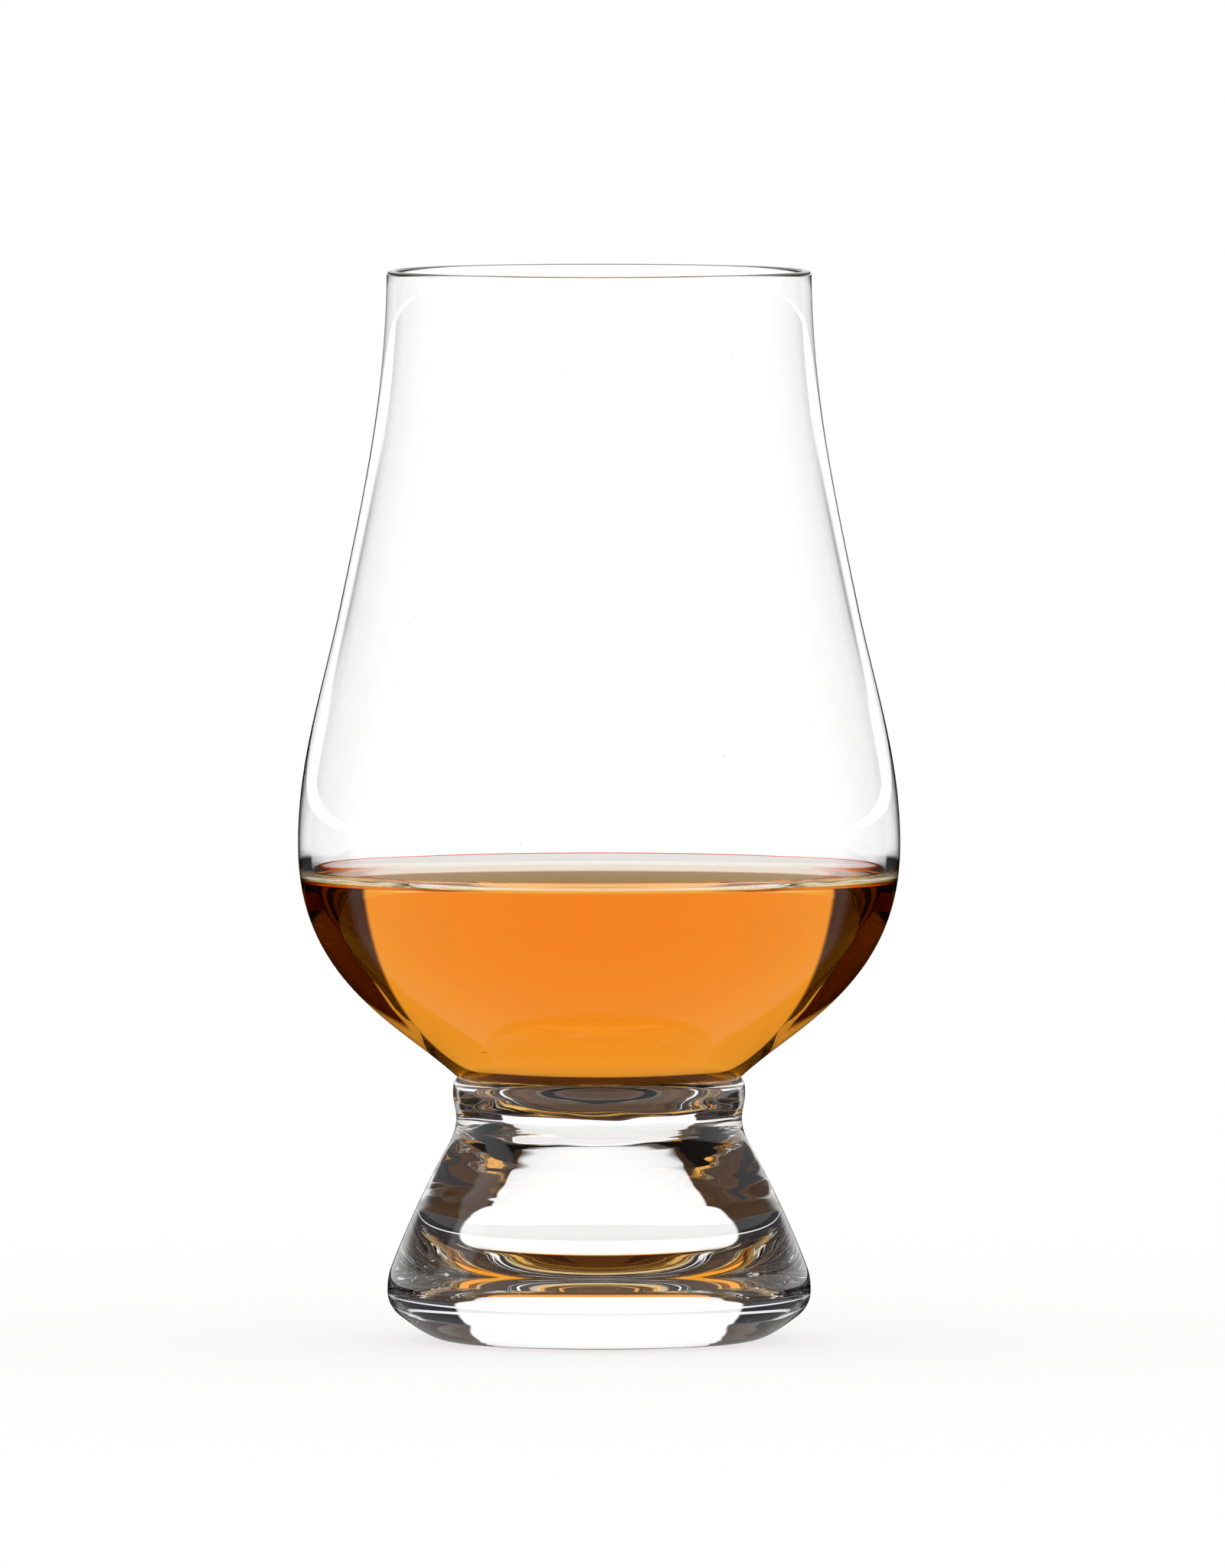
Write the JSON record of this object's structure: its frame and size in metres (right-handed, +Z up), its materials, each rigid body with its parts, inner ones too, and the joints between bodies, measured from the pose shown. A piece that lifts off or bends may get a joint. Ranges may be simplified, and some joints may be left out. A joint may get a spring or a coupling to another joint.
{
  "type": "whisky nosing glass",
  "caption": "Tulip-shaped nosing glass with a thin bowl narrowing to the rim, a heavy solid foot and a poured measure of amber spirit.",
  "frame": {"origin": "centre of the foot, on the table it stands on", "axes": "+Z up along the glass's axis; the glass is the same all round, so +X and +Y are any two level directions"},
  "size_m": [0.0646, 0.0646, 0.115],
  "materials": {
    "bowl_glass": "polished",
    "foot_glass": "polished",
    "spirit": "polished"
  },
  "bodies": {
    "root": {"bowl": "bowl_glass", "foot": "foot_glass", "whisky": "spirit"}
  },
  "joints": []
}
